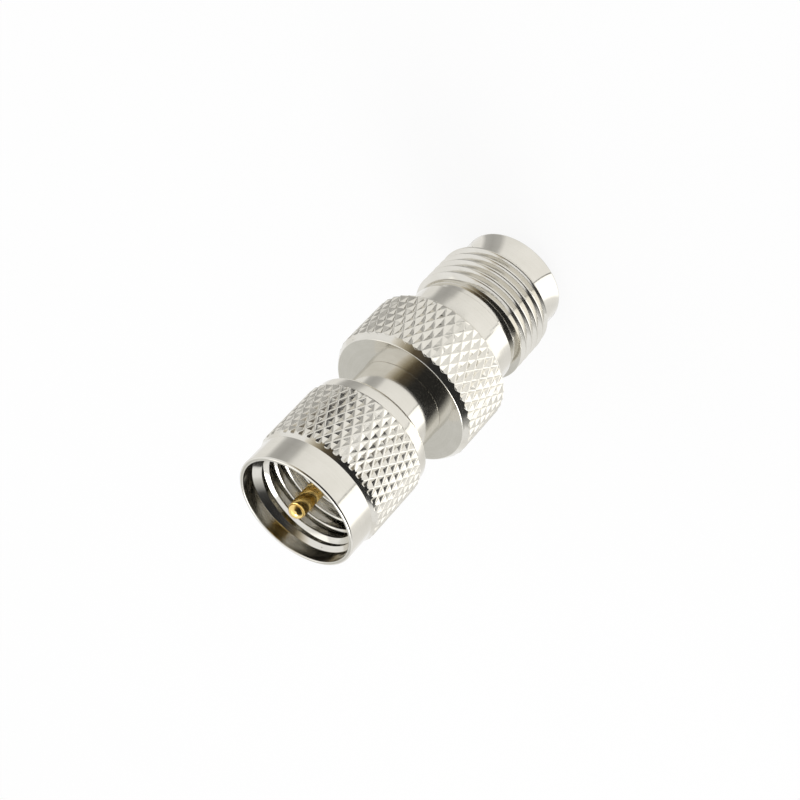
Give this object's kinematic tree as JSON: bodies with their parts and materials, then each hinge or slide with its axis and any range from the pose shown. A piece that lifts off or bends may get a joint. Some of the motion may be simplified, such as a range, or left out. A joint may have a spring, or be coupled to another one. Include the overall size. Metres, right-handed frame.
{
  "type": "coaxial adapter",
  "caption": "Nickel plated coaxial adapter: threaded plug with a captive knurled coupling nut and gilt pin, a knurled grip flange, and a threaded jack with a slotted socket.",
  "frame": {"origin": "centre of the jack's rim, on the plane that the part stands on", "axes": "+Z along the adapter's axis, from the jack towards the plug's coupling nut; +X and +Y are free"},
  "size_m": [0.0132, 0.0132, 0.0325],
  "materials": {
    "nickel_body": "bright nickel plate on turned brass",
    "nickel_nut": "bright nickel plate on turned and knurled brass",
    "spring_bronze": "drawn bronze wire",
    "gilt": "bright gold flash on turned brass",
    "insulator": "white fluoropolymer, turned"
  },
  "bodies": {
    "adapter_body": {"jack_body": "nickel_body", "plug_body": "nickel_body", "nut_snap_ring": "spring_bronze", "centre_contact": "gilt", "jack_insulator": "insulator", "plug_insulator": "insulator"},
    "nut": {"coupling_nut": "nickel_nut"}
  },
  "joints": [
    {"name": "nut_turn", "type": "hinge", "parent": "adapter_body", "child": "nut", "pos_m": [0, 0, 0.02678], "axis": [0, 0, 1], "continuous": true}
  ]
}
